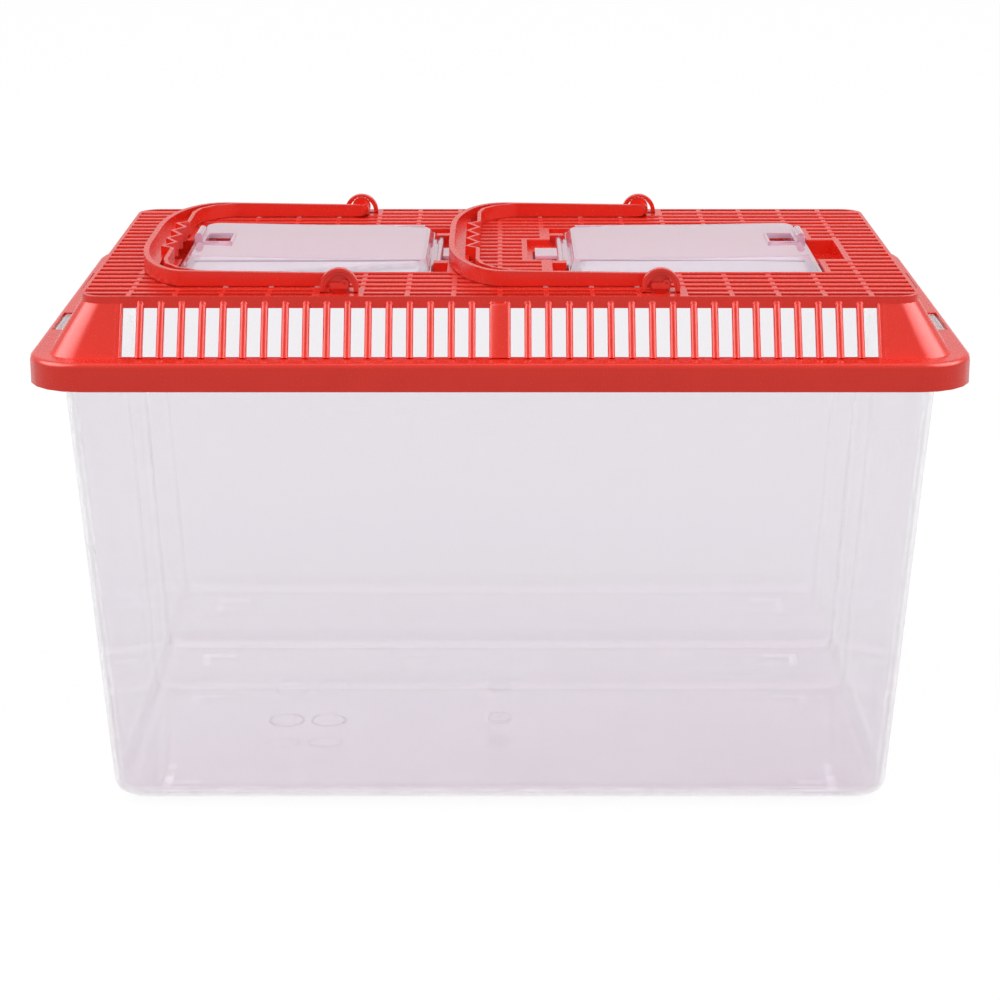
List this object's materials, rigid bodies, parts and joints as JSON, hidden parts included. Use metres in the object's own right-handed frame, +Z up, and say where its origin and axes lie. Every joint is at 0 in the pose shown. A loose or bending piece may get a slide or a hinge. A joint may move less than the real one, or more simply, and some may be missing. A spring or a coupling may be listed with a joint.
{
  "type": "plastic aquarium",
  "caption": "Portable plastic aquarium with a clear tapered tub, a vented red lid, clear hinged feeding doors and fold-down carry handles.",
  "frame": {"origin": "middle of the footprint, on the surface that the aquarium stands on", "axes": "+X along the length towards the right end, +Y from the front to the back, +Z up"},
  "size_m": [0.4106, 0.2576, 0.2503],
  "materials": {
    "clear_plastic": "gloss, clear with a faint lilac tint",
    "red_plastic": "satin gloss, moulded in red"
  },
  "bodies": {
    "tank": {"tank": "clear_plastic"},
    "lid": {"lid": "red_plastic"},
    "left_door": {"left_door": "clear_plastic"},
    "right_door": {"right_door": "clear_plastic"},
    "left_handle": {"left_handle": "red_plastic"},
    "right_handle": {"right_handle": "red_plastic"}
  },
  "joints": [
    {"name": "lid_lift", "type": "slide", "parent": "tank", "child": "lid", "axis": [0, 0, 1], "range_m": [0, 0.06]},
    {"name": "left_door_hinge", "type": "hinge", "parent": "lid", "child": "left_door", "pos_m": [-0.0282, 0, 0.2381], "axis": [0, 1, 0], "range_deg": [0, 80]},
    {"name": "right_door_hinge", "type": "hinge", "parent": "lid", "child": "right_door", "pos_m": [0.0282, 0, 0.2381], "axis": [0, -1, 0], "range_deg": [0, 80]},
    {"name": "left_handle_pivot", "type": "hinge", "parent": "lid", "child": "left_handle", "pos_m": [-0.0702, 0, 0.2427], "axis": [0, 1, 0], "range_deg": [0, 168]},
    {"name": "right_handle_pivot", "type": "hinge", "parent": "lid", "child": "right_handle", "pos_m": [0.0702, 0, 0.2427], "axis": [0, 1, 0], "range_deg": [0, 178]}
  ]
}
